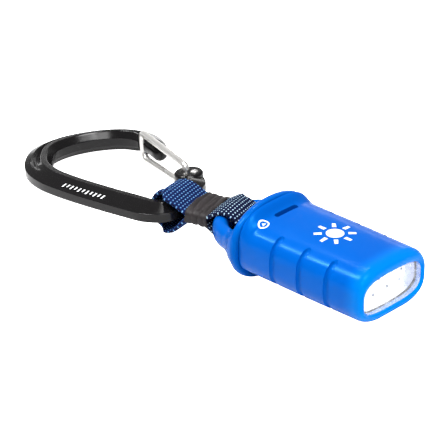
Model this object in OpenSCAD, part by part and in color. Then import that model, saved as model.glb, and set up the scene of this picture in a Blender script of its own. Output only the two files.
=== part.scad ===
// Keychain flashlight: a flat push-pull lamp, a webbing strap and a wire-gate carabiner.
// +X points out of the lens, +Z is up, the origin is under the middle of the overall box.

/* [Lamp body] */
// Length of the shell from the flange to the lens end
shell_len = 40; // [38:0.5:44]
// Width of the shell
shell_w = 26; // [25:0.5:30]
// Height of the shell
shell_h = 15.6; // [15:0.2:18]
// Wall thickness of the shell
wall = 1.6; // [1.2:0.1:2]
// Number of grip grooves on each side
groove_count = 3; // [1:1:4]
// Distance between grip grooves
groove_pitch = 8.8; // [7:0.1:10]

/* [Tail cap] */
// Width of the oval flange
flange_w = 29; // [28:0.5:32]
// Height of the oval flange
flange_h = 21.8; // [20:0.2:24]
// Thickness of the flange
flange_t = 2.4; // [1.8:0.1:3]
// Outer radius of the bail ring
bail_r = 12; // [11:0.2:13]
// Thickness of the bail seen from above
bail_t = 3.4; // [3:0.1:4]
// Height of the bail
bail_h = 5.2; // [4.4:0.1:6]

/* [Strap] */
// Width of the webbing
web_w = 12.7; // [10:0.1:13]
// Thickness of the webbing
web_t = 1.1; // [0.8:0.1:1.3]
// Angle of the strap to the lamp, seen from above
strap_yaw = 13; // [8:0.5:16]
// Length of the sleeve
sleeve_len = 6.7; // [5.5:0.1:7]
// Thickness of the sleeve over the webbing
sleeve_h = 5.4; // [4.8:0.1:6]

/* [Carabiner] */
// Thickness of the carabiner frame
biner_t = 5.8; // [5:0.1:6]
// Width of the frame's bar seen from above
biner_bar = 7.6; // [7:0.1:7.8]
// Diameter of the gate wire
wire_d = 1.9; // [1.6:0.1:2]
// Slope of the carabiner down to the surface it lies on
biner_tilt = 6.25; // [5:0.05:7]

/* [Hidden] */
$fn = 48;

// Middle of the overall box, with the lamp's axis at flange centre as zero
box_mid = [-25.29, 5.375];
lamp_z = flange_h / 2;

// Cross-sections
ring_points = 48;
shell_n = 3;
flange_n = 1.95;
cavity_w = shell_w / 2 - wall;
cavity_h = shell_h / 2 - wall;
seat_gap = 0.15;

// Stations along the lamp, from the flange forward
shell_rear = 0.1;
lip_x = shell_len - 2;
window_w = 10.9;
window_h = 4.9;
window_z = -0.4;
lens_front = shell_len - 0.5;
gasket_t = 0.6;
lens_flange_t = 1.3;
reflector_t = 3.2;
board_t = 0.8;
chip_t = 1;
lens_flange_x = lip_x - gasket_t - lens_flange_t;
reflector_x = lens_flange_x - reflector_t;
board_x = reflector_x - board_t;
retainer_x = board_x - 1.9;
groove_x0 = 11.4;
groove_depth = 0.45;
groove_half = 0.75;
slot_x = 3.8;
slot_w = 1.2;
slot_len = 8;
slot_y = 0.6;
flat_z = -(shell_h / 2 - 0.25);
flat_w = 14;

// Lamp inside
led_pitch = 5.6;
cell_r = 10;
cell_t = 3.2;
cell_x = 18.7;
plug_len = 7.6;
seal_x = 5.6;
seal_w = 1.4;
seal_depth = 0.9;
tray_front = cell_x + cell_r + 0.2;

// Bail
bail_x = -4.5;
bail_mid_r = bail_r - bail_t / 2;

// Strap: its plane runs from the bail bar to the carabiner bar
strap_at = [-12.9, 0, 0];
strap_run = 18.1;
strap_drop = -1.4;
loop_r = 5;
loop_in = loop_r - web_t;
clip_loop_r = 5.35;
clip_loop_in = clip_loop_r - web_t;
loop_steps = 40;
corner_side = 2.1;
bail_side = 5;
throat_in = 0.25;
web_pack = throat_in + web_t;
sleeve_s = 4.9;
sleeve_mid = sleeve_s + sleeve_len / 2;
throat_a = sleeve_s + 1.6;
throat_b = sleeve_s + sleeve_len - 0.4;

// Carabiner frame
biner_at = [-31, -2, -1.4];
biner_yaw = 2;
head_t = 5.1;
knob_t = 4.8;
knob_r = 4;
knob_at = [-8.4, 12.7];
bevel = 0.9;
bevel_h = 1.1;
spine_steps = 3;
gate_axis = [-8.4, 13.3];
gate_tip = [-36, 24];
gate_open = 30;
pin_offset = 1.5;
pin_hole_r = 1.42;
wire_r = wire_d / 2;
pin_r = wire_r - 0.04;
bend_r = wire_r + 0.01;
leg_z_tip = head_t / 2 + wire_r + 0.35;
leg_z_hinge = knob_t / 2 + wire_r + 0.15;

// Centreline of the carabiner from the hinge knob round to the nose, with the half-width there
bar_half = biner_bar / 2;
biner_line = [
    [-7.4, 12.6, 3.0], [-3.9, 9.9, 3.0], [-1.6, 4.6, 3.0], [0.4, -1.2, 3.0],
    [1.6, -4.6, bar_half - 0.6], [0.8, -7.4, bar_half - 0.4], [-2.6, -8.9, bar_half - 0.1],
    [-8.4, -9.1, bar_half], [-16, -9.2, bar_half], [-25, -9.1, bar_half],
    [-33.8, -8.6, bar_half], [-40.5, -7.6, bar_half], [-47.0, -5.0, bar_half],
    [-52.2, -0.3, bar_half], [-55.6, 5.8, bar_half - 0.1], [-55.0, 13.2, bar_half - 0.2],
    [-51.0, 20.2, bar_half - 0.4], [-45.2, 25.2, bar_half - 0.6],
    [-39.2, 26.8, bar_half - 0.7], [-34.6, 25.9, bar_half - 0.9],
    [-31.2, 24.4, bar_half - 1.1], [-28.9, 23.0, bar_half - 1.5]];
head_from = -38.6;

// ---------- functions ----------
function sgn_pow(v, p) = sign(v) * pow(abs(v), p);
// A superellipse point with its own upper and lower height
function oval_point(b, top, bottom, n, a) =
    [b * sgn_pow(cos(a), 2 / n), (sin(a) >= 0 ? top : bottom) * sgn_pow(sin(a), 2 / n)];
function oval(b, c, n, count = ring_points) =
    [for (i = [0:count - 1]) oval_point(b, c, c, n, 360 * i / count)];
function smooth(t) = let (u = min(1, max(0, t))) u * u * (3 - 2 * u);

// Shell skin stations: [x, half width, upper height, lower height, groove depth, middle height]
function front_round(x) =
    let (r = 2.6, d = max(0, x - (shell_len - r))) r - sqrt(max(0, r * r - d * d));
function rear_flare(x) = 2.2 * pow(1 - smooth((x - shell_rear) / 4.2), 1.4);
function skin_station(x, groove) =
    let (f = front_round(x), k = 1 - 0.35 * smooth((x - 20) / 20) / (shell_w / 2))
    [x, shell_w / 2 * k - f * 0.55, shell_h / 2 - f * 0.62 + rear_flare(x),
     shell_h / 2 - f * 0.62, groove, 0];
outer_x = concat(
    [for (x = [shell_rear, 1.2, 2.4, 3.6, 5.2, 8]) [x, 0]],
    [for (i = [0:groove_count - 1]) for (d = [-groove_half, 0, groove_half])
        [groove_x0 + i * groove_pitch + d, d == 0 ? groove_depth : 0]],
    [for (x = [shell_len - 3.6, shell_len - 2.2, shell_len - 1.2, shell_len - 0.4, shell_len])
        [x, 0]]);
inner_stations = [
    [shell_len, window_w + 0.15, window_h + 0.4, window_h + 0.4, 0, window_z],
    [lens_front - 0.3, window_w, window_h, window_h, 0, window_z],
    [lip_x, window_w, window_h, window_h, 0, window_z],
    [lip_x, cavity_w, cavity_h, cavity_h, 0, 0],
    [shell_rear, cavity_w, cavity_h, cavity_h, 0, 0]];
// Grooves run from the upper shoulder down the side and fade out underneath
function groove_mask(a) = smooth((abs(cos(a)) - 0.25) / 0.3);
function skin_ring(s) = [for (i = [0:ring_points - 1])
    let (a = 360 * i / ring_points, g = s[4] * groove_mask(a),
         p = oval_point(s[1] - g, s[2] - g, s[3] - g, shell_n, a))
    [s[0], p[0], p[1] + s[5]]];

// Catmull-Rom curve through the carabiner stations
function spline_at(p, i, t) =
    let (n = len(p), a = p[max(0, i - 1)], b = p[i], c = p[min(n - 1, i + 1)],
         d = p[min(n - 1, i + 2)])
    0.5 * (2 * b + (c - a) * t + (2 * a - 5 * b + 4 * c - d) * t * t
           + (3 * b - a - 3 * c + d) * t * t * t);
function spline(p, from, to) = concat(
    [for (i = [from:to - 1]) for (k = [0:spine_steps - 1]) spline_at(p, i, k / spine_steps)],
    [p[to]]);
function unit(v) = v / norm(v);
function normal_at(c, i) =
    let (n = len(c), d = c[min(n - 1, i + 1)] - c[max(0, i - 1)], u = unit([d[0], d[1]]))
    [-u[1], u[0]];
function band(c, inset) = concat(
    [for (i = [0:len(c) - 1]) [c[i][0], c[i][1]] + normal_at(c, i) * (c[i][2] - inset)],
    [for (i = [len(c) - 1:-1:0]) [c[i][0], c[i][1]] - normal_at(c, i) * (c[i][2] - inset)]);
// Side view of one webbing loop: an arc round the bar, closed by its two runs to the throat
function loop_arc(mid, r, throat_s, throat_z) =
    let (d = [throat_s, 0] - mid, base = atan2(d[1], d[0]), half = acos(r / norm(d)) + 4,
         side = throat_s > mid[0] ? 1 : -1)
    concat([[throat_s, side * throat_z]],
           [for (k = [0:loop_steps]) let (a = base + half + (360 - 2 * half) * k / loop_steps)
               mid + r * [cos(a), sin(a)]],
           [[throat_s, -side * throat_z]]);

// ---------- helpers ----------
module at_row() { translate([-box_mid[0], -box_mid[1], lamp_z]) children(); }

module along_x(x0, x1) {
    translate([x0, 0, 0]) rotate([90, 0, 90]) linear_extrude(height = x1 - x0) children();
}

module oval_plate(x0, x1, b, c, n = shell_n, z = 0) {
    along_x(x0, x1) translate([0, z]) polygon(oval(b, c, n));
}

module block(x0, x1, y0, y1, z0, z1) {
    translate([x0, y0, z0]) cube([x1 - x0, y1 - y0, z1 - z0]);
}

module rod(p, q, r) {
    d = q - p;
    translate(p) rotate([0, acos(d[2] / norm(d)), atan2(d[1], d[0])])
        cylinder(r = r, h = norm(d));
}

// A skin through closed rings, joined back to the first one
module ring_skin(stations) {
    rings = [for (s = stations) skin_ring(s)];
    m = len(rings);
    n = ring_points;
    polyhedron(
        points = [for (r = rings) for (p = r) p],
        faces = [for (j = [0:m - 1]) for (i = [0:n - 1])
            let (k = (j + 1) % m, l = (i + 1) % n)
            each [[j * n + i, k * n + i, k * n + l], [j * n + i, k * n + l, j * n + l]]],
        convexity = 8);
}

module in_strap() {
    translate(strap_at) rotate([0, 0, 180 + strap_yaw]) children();
}

// Extrudes a side view, drawn as distance along the strap and height, across the webbing
module across_strap(w) {
    rotate([90, 0, 0]) linear_extrude(height = w, center = true) children();
}

module in_biner() {
    translate(biner_at) rotate([0, 0, biner_yaw]) rotate([0, -biner_tilt, 0]) children();
}

module slab(t) { linear_extrude(height = t, center = true) children(); }

// ---------- lamp body ----------
module shell() {
    color("royalblue") at_row() difference() {
        ring_skin(concat([for (x = outer_x) skin_station(x[0], x[1])], inner_stations));
        block(slot_x - slot_w / 2, slot_x + slot_w / 2, slot_y - slot_len / 2,
              slot_y + slot_len / 2, 0, shell_h);
        block(-1, shell_len + 1, -flat_w, flat_w, flat_z - 5, flat_z);
    }
}

module lens() {
    color("azure", 0.6) at_row() {
        oval_plate(lens_flange_x + lens_flange_t - 0.01, lens_front, window_w - 0.1,
                   window_h - 0.1, shell_n, window_z);
        oval_plate(lens_flange_x, lens_flange_x + lens_flange_t, cavity_w - 0.45,
                   cavity_h - 0.2);
    }
}

module lens_gasket() {
    color("dimgray") at_row() difference() {
        oval_plate(lip_x - gasket_t, lip_x, cavity_w - 0.35, cavity_h - 0.15);
        oval_plate(lip_x - gasket_t - 1, lip_x + 1, window_w - 0.05, window_h - 0.05,
                   shell_n, window_z);
    }
}

module reflector() {
    color("gainsboro") at_row() difference() {
        oval_plate(reflector_x, lens_flange_x, cavity_w - 0.4, cavity_h - 0.25);
        for (y = [-led_pitch, 0, led_pitch])
            translate([reflector_x - 0.01, y, window_z]) rotate([0, 90, 0])
                cylinder(r1 = 2, r2 = 3.6, h = reflector_t + 0.02);
    }
}

module led_board() {
    color("white") at_row()
        block(board_x, reflector_x, -9.6, 9.6, -4.2, 3.8);
}

module led(y) {
    color("lightyellow") at_row() {
        block(reflector_x, reflector_x + 0.6, y - 1.1, y + 1.1, window_z - 1.1, window_z + 1.1);
        translate([reflector_x + 0.6, y, window_z]) rotate([0, 90, 0])
            cylinder(r = 0.9, h = 0.25);
    }
}
module led_left() { led(led_pitch); }
module led_middle() { led(0); }
module led_right() { led(-led_pitch); }

module driver_chip() {
    color("black") at_row() block(board_x - chip_t, board_x, -1.5, 1.5, -1.9, 1.1);
}

module board_resistors() {
    color("saddlebrown") at_row() for (y = [-4.6, 3.4])
        block(board_x - 0.5, board_x, y, y + 1.2, -1.2, 0.8);
}

module module_retainer() {
    color("darkslategray") at_row() difference() {
        oval_plate(retainer_x, board_x, cavity_w - 0.4, cavity_h - 0.25);
        block(retainer_x - 1, board_x + 1, -7.4, 7.4, -3.4, 2.6);
        block(retainer_x - 1, board_x + 1, -1.9, 1.9, 2.5, cell_t + 0.8);
    }
}

module contact_spring() {
    blade = 0.25;
    color("silver") at_row() {
        block(board_x - blade, board_x, 4.9, 7.1, -3.3, 0.6);
        block(tray_front + 0.05, board_x, 4.9, 7.1, -3.3, -3.3 + blade);
        block(tray_front + 0.05, tray_front + 0.05 + blade, 4.9, 7.1, -3.3, -1.2);
    }
}

module contact_strip() {
    strip_z = cell_t + 0.35;
    color("silver") at_row() {
        block(cell_x - 3, board_x, -1.6, 1.6, strip_z, strip_z + 0.3);
        translate([cell_x - 1, 0, cell_t + 0.05]) cylinder(r = 0.8, h = 0.31);
    }
}

// ---------- tail cap and battery core ----------
module bail_section() {
    polygon(oval(bail_t / 2, bail_h / 2, 2.3, 28));
}

module tail_cap() {
    color("royalblue") at_row() {
        difference() {
            union() {
                oval_plate(-flange_t, 0, flange_w / 2, flange_h / 2, flange_n);
                oval_plate(-0.01, plug_len, cavity_w - seat_gap, cavity_h - seat_gap);
            }
            difference() {
                oval_plate(seal_x, seal_x + seal_w, cavity_w + 1, cavity_h + 1);
                oval_plate(seal_x - 1, seal_x + seal_w + 1, cavity_w - seal_depth,
                           cavity_h - seal_depth);
            }
            block(slot_x - 1.1, slot_x + 1.1, slot_y - slot_len / 2 - 0.3,
                  slot_y + slot_len / 2 + 0.3, cavity_h - 1.6, cavity_h + 1);
        }
        translate([bail_x, 0, 0]) rotate([0, 0, 90]) rotate_extrude(angle = 180)
            translate([bail_mid_r, 0]) bail_section();
        for (side = [-1, 1])
            along_x(bail_x - 0.01, -flange_t + 0.01) translate([side * bail_mid_r, 0])
                bail_section();
    }
}

module tail_seal() {
    color("black") at_row() difference() {
        oval_plate(seal_x + 0.05, seal_x + seal_w - 0.05, cavity_w - 0.06, cavity_h - 0.06);
        oval_plate(seal_x - 1, seal_x + seal_w + 1, cavity_w - seal_depth,
                   cavity_h - seal_depth);
    }
}

module battery_tray() {
    color("darkslategray") at_row() difference() {
        intersection() {
            oval_plate(plug_len, tray_front, cavity_w - 0.3, cavity_h - 0.3);
            block(plug_len, tray_front, -cavity_w, cavity_w, -cavity_h, 1);
        }
        translate([cell_x, 0, -cell_t]) cylinder(r = cell_r + 0.1, h = 3 * cell_t, $fn = 96);
        block(cell_x - 6, tray_front + 1, 4.2, 7.8, -cavity_h - 1, -cell_t + 0.1);
        block(tray_front - 0.4, tray_front + 1, 4.2, 7.8, -cell_t - 1, -1.2);
    }
}

module coin_cell(z) {
    color("lightgray") at_row() translate([cell_x, 0, z]) {
        translate([0, 0, 0.3]) cylinder(r = cell_r, h = cell_t - 0.3, $fn = 96);
        cylinder(r = cell_r - 1.2, h = 0.3, $fn = 96);
    }
}
module coin_cell_lower() { coin_cell(-cell_t); }
module coin_cell_upper() { coin_cell(0); }

module cell_contact() {
    color("silver") at_row() {
        block(cell_x - 5, tray_front, 4.7, 7.3, -cell_t - 0.3, -cell_t);
        block(tray_front - 0.2, tray_front, 4.7, 7.3, -cell_t - 0.3, -1.4);
    }
}

// ---------- strap ----------
// Outer side view of the whole strap: two loops joined by the throat under the sleeve
module strap_side() {
    polygon(concat(
        loop_arc([0, 0], loop_r, throat_a, web_pack),
        loop_arc([strap_run, strap_drop], clip_loop_r, throat_b, web_pack)));
}

module webbing() {
    color("navy") at_row() difference() {
        in_strap() across_strap(web_w) difference() {
            strap_side();
            polygon(loop_arc([0, 0], loop_in, throat_a - 0.4, throat_in));
            polygon(loop_arc([strap_run, strap_drop], clip_loop_in, throat_b + 0.4, throat_in));
            circle(r = loop_in + 0.03);
            translate([strap_run, strap_drop]) circle(r = clip_loop_in + 0.03);
        }
        edge_reliefs();
    }
}

// The webbing's edges give way to the carabiner's corner and to the round of the bail
module edge_reliefs() {
    in_strap() {
        block(strap_run, strap_run + clip_loop_r + 1, corner_side, web_w, -9, 9);
        block(-loop_r - 1, 0.6, -web_w, -bail_side, -9, 9);
    }
}

module webbing_sleeve() {
    half_w = web_w / 2 + 0.45;
    color("black") at_row() in_strap() difference() {
        along_x(sleeve_s, sleeve_s + sleeve_len) polygon(oval(half_w, sleeve_h / 2, 6));
        across_strap(web_w + 0.02) {
            strap_side();
            translate([sleeve_s + 0.8, -web_pack - 0.25])
                square([sleeve_len - 1.6, 2 * web_pack + 0.5]);
        }
    }
}

module webbing_stitching() {
    color("midnightblue") at_row() in_strap() for (i = [0:4]) for (side = [-1, 1])
        translate([sleeve_mid - 1.2, -4.8 + i * 2.4, side * (web_pack + 0.1) - 0.1])
            cube([2.4, 0.5, 0.2]);
}

// ---------- carabiner ----------
module frame_outline(inset) {
    polygon(band(spline(biner_line, 0, len(biner_line) - 1), inset));
}

// Thins one region of the frame to thickness t on both faces
module thin_down(t) {
    for (side = [-1, 1]) translate([0, 0, side * (t / 2 + 2)]) slab(4) children();
}

module carabiner_frame() {
    tail = biner_line[len(biner_line) - 1];
    swing = atan2(gate_tip[1] - gate_axis[1], gate_tip[0] - gate_axis[0]);
    color("#1b1b1d") at_row() in_biner() difference() {
        union() {
            slab(biner_t - 2 * bevel_h) {
                frame_outline(0);
                translate([tail[0], tail[1]]) circle(r = tail[2]);
                translate(knob_at) circle(r = knob_r);
            }
            slab(biner_t) {
                frame_outline(bevel);
                translate(knob_at) circle(r = knob_r - bevel);
            }
        }
        thin_down(head_t) translate([head_from, 14]) square([16, 20]);
        thin_down(knob_t) translate(gate_axis) circle(r = knob_r + 0.3);
        // Notch that the closed end of the gate drops into, open towards the inside
        translate(gate_tip) rotate([0, 0, swing + 98]) slab(biner_t + 1) {
            circle(r = wire_r + 0.35);
            translate([0, -wire_r - 0.35]) square([8, wire_d + 0.7]);
        }
        for (side = [-1, 1])
            translate(gate_axis) rotate([0, 0, gate_open / 2])
                translate([side * pin_offset, 0, 0])
                    cylinder(r = pin_hole_r, h = biner_t + 2, center = true);
    }
}

module wire_gate() {
    tip_up = [gate_tip[0], gate_tip[1], leg_z_tip];
    tip_down = [gate_tip[0], gate_tip[1], -leg_z_tip];
    hinge_up = [gate_axis[0] - pin_offset, gate_axis[1], leg_z_hinge];
    hinge_down = [gate_axis[0] + pin_offset, gate_axis[1], -leg_z_hinge];
    color("silver") at_row() in_biner() {
        rod(tip_up, hinge_up, wire_r);
        rod(tip_down, hinge_down, wire_r);
        rod(tip_down, tip_up, wire_r);
        rod([hinge_up[0], hinge_up[1], 0.3], hinge_up, pin_r);
        rod(hinge_down, [hinge_down[0], hinge_down[1], knob_t / 2], pin_r);
        for (p = [tip_up, tip_down, hinge_up, hinge_down]) translate(p) sphere(r = bend_r);
    }
}

shell();
lens();
lens_gasket();
reflector();
led_board();
led_left();
led_middle();
led_right();
driver_chip();
board_resistors();
module_retainer();
contact_spring();
contact_strip();
tail_cap();
tail_seal();
battery_tray();
coin_cell_lower();
coin_cell_upper();
cell_contact();
webbing();
webbing_sleeve();
webbing_stitching();
carabiner_frame();
wire_gate();
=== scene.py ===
import math

import bmesh
import bpy
import numpy as np
from mathutils import Matrix, Vector


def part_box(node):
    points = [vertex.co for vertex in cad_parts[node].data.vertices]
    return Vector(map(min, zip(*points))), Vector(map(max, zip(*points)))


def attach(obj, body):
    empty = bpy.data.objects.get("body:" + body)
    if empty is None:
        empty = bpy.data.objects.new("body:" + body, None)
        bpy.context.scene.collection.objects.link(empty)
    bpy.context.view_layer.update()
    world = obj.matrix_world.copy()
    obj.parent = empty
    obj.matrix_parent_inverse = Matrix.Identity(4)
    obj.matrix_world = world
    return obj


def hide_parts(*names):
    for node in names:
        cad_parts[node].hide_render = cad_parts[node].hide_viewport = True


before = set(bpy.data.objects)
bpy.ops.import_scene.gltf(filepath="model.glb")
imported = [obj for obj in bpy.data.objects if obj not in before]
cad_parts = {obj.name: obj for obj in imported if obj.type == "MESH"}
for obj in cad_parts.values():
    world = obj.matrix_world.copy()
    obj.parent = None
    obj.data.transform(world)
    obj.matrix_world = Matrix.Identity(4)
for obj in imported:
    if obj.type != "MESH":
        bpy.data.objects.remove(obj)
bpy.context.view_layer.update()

MM = 0.001

# -------------------- places (millimetres)
shell_low, shell_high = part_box("shell")
cap_low, cap_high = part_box("tail_cap")
SHELL_REAR = 0.1
LAMP = np.array([
    shell_low.x / MM - SHELL_REAR,
    (cap_low.y + cap_high.y) / 2 / MM,
    (cap_low.z + cap_high.z) / 2 / MM,
])
SHELL_LEN = (shell_high.x - shell_low.x) / MM + SHELL_REAR
SHELL_HALF = np.array([13.0, 7.8])
SHELL_POWER = 3.0
WINDOW_HALF = np.array([10.9, 4.9])
WINDOW_Z = -0.4
CAVITY_HALF = np.array([11.4, 6.2])
LIP_X = SHELL_LEN - 2
LENS_FRONT = SHELL_LEN - 0.5
UNDERSIDE = -7.55

STRAP_AT = LAMP + [-12.9, 0, 0]
STRAP_TURN = 193
WEB_W = 12.7
WEB_T = 1.0
SLEEVE_S = 4.9
SLEEVE_LEN = 6.7

BINER_AT = LAMP + [-31, -2, -1.4]
BINER_TURN = 2
BINER_TILT = 6.25


def turn_z(degrees):
    return np.array(Matrix.Rotation(math.radians(degrees), 3, "Z"))


def turn_y(degrees):
    return np.array(Matrix.Rotation(math.radians(degrees), 3, "Y"))


STRAP_AXES = turn_z(STRAP_TURN)
BINER_AXES = turn_z(BINER_TURN) @ turn_y(-BINER_TILT)


def in_lamp(points):
    return np.asarray(points, float) + LAMP


def in_strap(points):
    return np.asarray(points, float) @ STRAP_AXES.T + STRAP_AT


def in_biner(points):
    return np.asarray(points, float) @ BINER_AXES.T + BINER_AT


# -------------------- mesh helpers
def smooth(t):
    u = np.clip(t, 0, 1)
    return u * u * (3 - 2 * u)


def loft(rings, wrap=False, caps=True):
    """Vertices and faces of a skin through closed rings of equal length."""
    rings = [np.asarray(r, float) for r in rings]
    n = len(rings[0])
    m = len(rings)
    verts = np.concatenate(rings)
    faces = []
    for j in range(m if wrap else m - 1):
        a, b = j * n, (j + 1) % m * n
        for i in range(n):
            k = (i + 1) % n
            faces.append((a + i, b + i, b + k, a + k))
    if caps and not wrap:
        faces.append(tuple(range(n)))
        faces.append(tuple(reversed(range((m - 1) * n, m * n))))
    return verts, faces


def make(name, verts, faces):
    """An object whose mesh is still in millimetres."""
    mesh = bpy.data.meshes.new(name)
    mesh.from_pydata([tuple(v) for v in verts], [], faces)
    mesh.validate()
    bm = bmesh.new()
    bm.from_mesh(mesh)
    bmesh.ops.recalc_face_normals(bm, faces=bm.faces)
    bm.to_mesh(mesh)
    bm.free()
    obj = bpy.data.objects.new(name, mesh)
    bpy.context.scene.collection.objects.link(obj)
    return obj


def apply_modifiers(obj):
    graph = bpy.context.evaluated_depsgraph_get()
    graph.update()
    old = obj.data
    obj.data = bpy.data.meshes.new_from_object(obj.evaluated_get(graph))
    obj.modifiers.clear()
    bpy.data.meshes.remove(old)


def combine(obj, tool, how):
    """A boolean of obj with tool, which is used up."""
    m = obj.modifiers.new("cut", "BOOLEAN")
    m.operation = how
    m.solver = "EXACT"
    m.object = tool
    apply_modifiers(obj)
    bpy.data.objects.remove(tool)


def finish_piece(obj, body, material, angle=40, replaces=()):
    """Millimetres to metres, shading, material, and the body it rides on."""
    obj.data.transform(Matrix.Scale(MM, 4))
    obj.data.shade_smooth()
    obj.data.set_sharp_from_angle(angle=math.radians(angle))
    even = obj.modifiers.new("even_shading", "WEIGHTED_NORMAL")
    even.keep_sharp = True
    even.weight = 80
    obj.data.materials.clear()
    obj.data.materials.append(material)
    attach(obj, body)
    if replaces:
        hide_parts(*replaces)


def superellipse(power, half, count):
    """A superellipse of half-size 1, with its points evenly spaced once it is scaled by half."""
    fine_count = 20001
    a = np.linspace(0, 2 * np.pi, fine_count)
    c, s = np.cos(a), np.sin(a)
    p = np.stack([np.sign(c) * np.abs(c) ** (2 / power), np.sign(s) * np.abs(s) ** (2 / power)], 1)
    steps = np.linalg.norm(np.diff(p * half, axis=0), axis=1)
    along = np.concatenate([[0], np.cumsum(steps)])
    even = np.arange(count) * along[-1] / count
    return np.stack([np.interp(even, along, p[:, i]) for i in (0, 1)], 1)


CORNER_STEPS = 7


def fillet(corners):
    """A closed outline through (a, b, radius) corners, each rounded with CORNER_STEPS points."""
    out = []
    n = len(corners)
    for i in range(n):
        p = np.array(corners[i][:2], float)
        before = np.array(corners[i - 1][:2], float) - p
        after = np.array(corners[(i + 1) % n][:2], float) - p
        lb, la = np.linalg.norm(before), np.linalg.norm(after)
        before, after = before / lb, after / la
        half = math.acos(np.clip(before @ after, -1, 1)) / 2
        reach = min(corners[i][2] / math.tan(half), 0.48 * lb, 0.48 * la)
        a, b = p + before * reach, p + after * reach
        for k in range(CORNER_STEPS):
            t = k / (CORNER_STEPS - 1)
            out.append((1 - t) ** 2 * a + 2 * t * (1 - t) * p + t * t * b)
    return np.array(out)


LONG_SIDE_PARTS = 9


def evenly(outline):
    """Divides each straight side of a fillet outline into LONG_SIDE_PARTS equal parts."""
    out = []
    for i in range(len(outline)):
        a, b = outline[i], outline[(i + 1) % len(outline)]
        leaves_corner = i % CORNER_STEPS == CORNER_STEPS - 1
        parts = LONG_SIDE_PARTS if leaves_corner else 1
        out += [a + (b - a) * k / parts for k in range(parts)]
    return np.array(out)


def frames_along(path):
    """Two side directions at each point of an open 3-D path, carried along it without twist."""
    d = np.gradient(path, axis=0)
    d /= np.linalg.norm(d, axis=1)[:, None]
    side = np.cross(d[0], [0.3, 0.2, 0.93])
    side /= np.linalg.norm(side)
    sides = []
    for t in d:
        side = side - t * (side @ t)
        side /= np.linalg.norm(side)
        sides.append(side)
    sides = np.array(sides)
    return sides, np.cross(d, sides)


PATH_STEP = 0.25
BEND_STEPS = 9


def rounded_path(corners, reaches):
    """A polyline whose corners are turned into smooth bends that start that far from each."""
    corners = [np.array(c, float) for c in corners]
    out = [corners[0]]
    for i in range(1, len(corners) - 1):
        p, before, after = corners[i], corners[i - 1] - corners[i], corners[i + 1] - corners[i]
        lb, la = np.linalg.norm(before), np.linalg.norm(after)
        reach = min(reaches[i], 0.49 * lb, 0.49 * la)
        a, b = p + before / lb * reach, p + after / la * reach
        for t in np.linspace(0, 1, BEND_STEPS):
            out.append((1 - t) ** 2 * a + 2 * t * (1 - t) * p + t * t * b)
    out.append(corners[-1])
    out = np.array(out)
    along = np.concatenate([[0], np.cumsum(np.linalg.norm(np.diff(out, axis=0), axis=1))])
    even = np.linspace(0, along[-1], int(along[-1] / PATH_STEP))
    return np.stack([np.interp(even, along, out[:, i]) for i in range(3)], 1)


WIRE_SIDES = 28


def round_bar(path, radius):
    """Rings of a round bar along a path, with domed ends."""
    a, b = frames_along(path)
    turn = np.linspace(0, 2 * np.pi, WIRE_SIDES, endpoint=False)
    circle = np.cos(turn)[:, None], np.sin(turn)[:, None]
    d = np.gradient(path, axis=0)
    d /= np.linalg.norm(d, axis=1)[:, None]
    rings = []
    dome = [(-0.35, 0.25), (-0.3, 0.55), (-0.17, 0.85)]
    for push, size in dome:
        rings.append(path[0] + d[0] * push * radius
                     + radius * size * (circle[0] * a[0] + circle[1] * b[0]))
    for p, u, v in zip(path, a, b):
        rings.append(p + radius * (circle[0] * u + circle[1] * v))
    for push, size in reversed(dome):
        rings.append(path[-1] - d[-1] * push * radius
                     + radius * size * (circle[0] * a[-1] + circle[1] * b[-1]))
    return rings


# -------------------- material helpers
class Nodes:
    """A thin wrapper for building a node material."""

    def __init__(self, name):
        self.material = bpy.data.materials.new(name)
        self.material.use_nodes = True
        self.tree = self.material.node_tree
        self.tree.nodes.clear()
        self.shader = self.new("ShaderNodeBsdfPrincipled")
        self.out = self.new("ShaderNodeOutputMaterial")
        self.link(self.shader.outputs[0], self.out.inputs[0])

    def new(self, kind, **values):
        node = self.tree.nodes.new(kind)
        for key, value in values.items():
            setattr(node, key, value)
        return node

    def link(self, a, b):
        self.tree.links.new(a, b)

    def put(self, socket, value):
        if hasattr(value, "is_linked"):
            self.link(value, socket)
        else:
            socket.default_value = value

    def math(self, how, a, b=0.0, c=0.0):
        node = self.new("ShaderNodeMath", operation=how)
        for socket, value in zip(node.inputs, (a, b, c)):
            self.put(socket, value)
        return node.outputs[0]

    def ramp(self, value, low, high, out_low=0.0, out_high=1.0):
        node = self.new("ShaderNodeMapRange")
        node.interpolation_type = "SMOOTHSTEP"
        for key, v in zip(range(5), (value, low, high, out_low, out_high)):
            self.put(node.inputs[key], v)
        return node.outputs[0]

    def mix(self, factor, a, b):
        node = self.new("ShaderNodeMix", data_type="RGBA")
        self.put(node.inputs[0], factor)
        self.put(node.inputs[6], a)
        self.put(node.inputs[7], b)
        return node.outputs[2]

    def place(self):
        return self.new("ShaderNodeTexCoord").outputs["Object"]

    def noise(self, scale, detail=3.0, rough=0.55, where=None):
        node = self.new("ShaderNodeTexNoise")
        self.link(where or self.place(), node.inputs["Vector"])
        node.inputs["Scale"].default_value = scale
        node.inputs["Detail"].default_value = detail
        node.inputs["Roughness"].default_value = rough
        return node.outputs["Fac"]

    def bump(self, height, distance, strength=1.0):
        node = self.new("ShaderNodeBump")
        self.put(node.inputs["Height"], height)
        node.inputs["Distance"].default_value = distance
        node.inputs["Strength"].default_value = strength
        self.link(node.outputs[0], self.shader.inputs["Normal"])

    def set(self, **values):
        for key, value in values.items():
            self.put(self.shader.inputs[key.replace("_", " ")], value)


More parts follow.
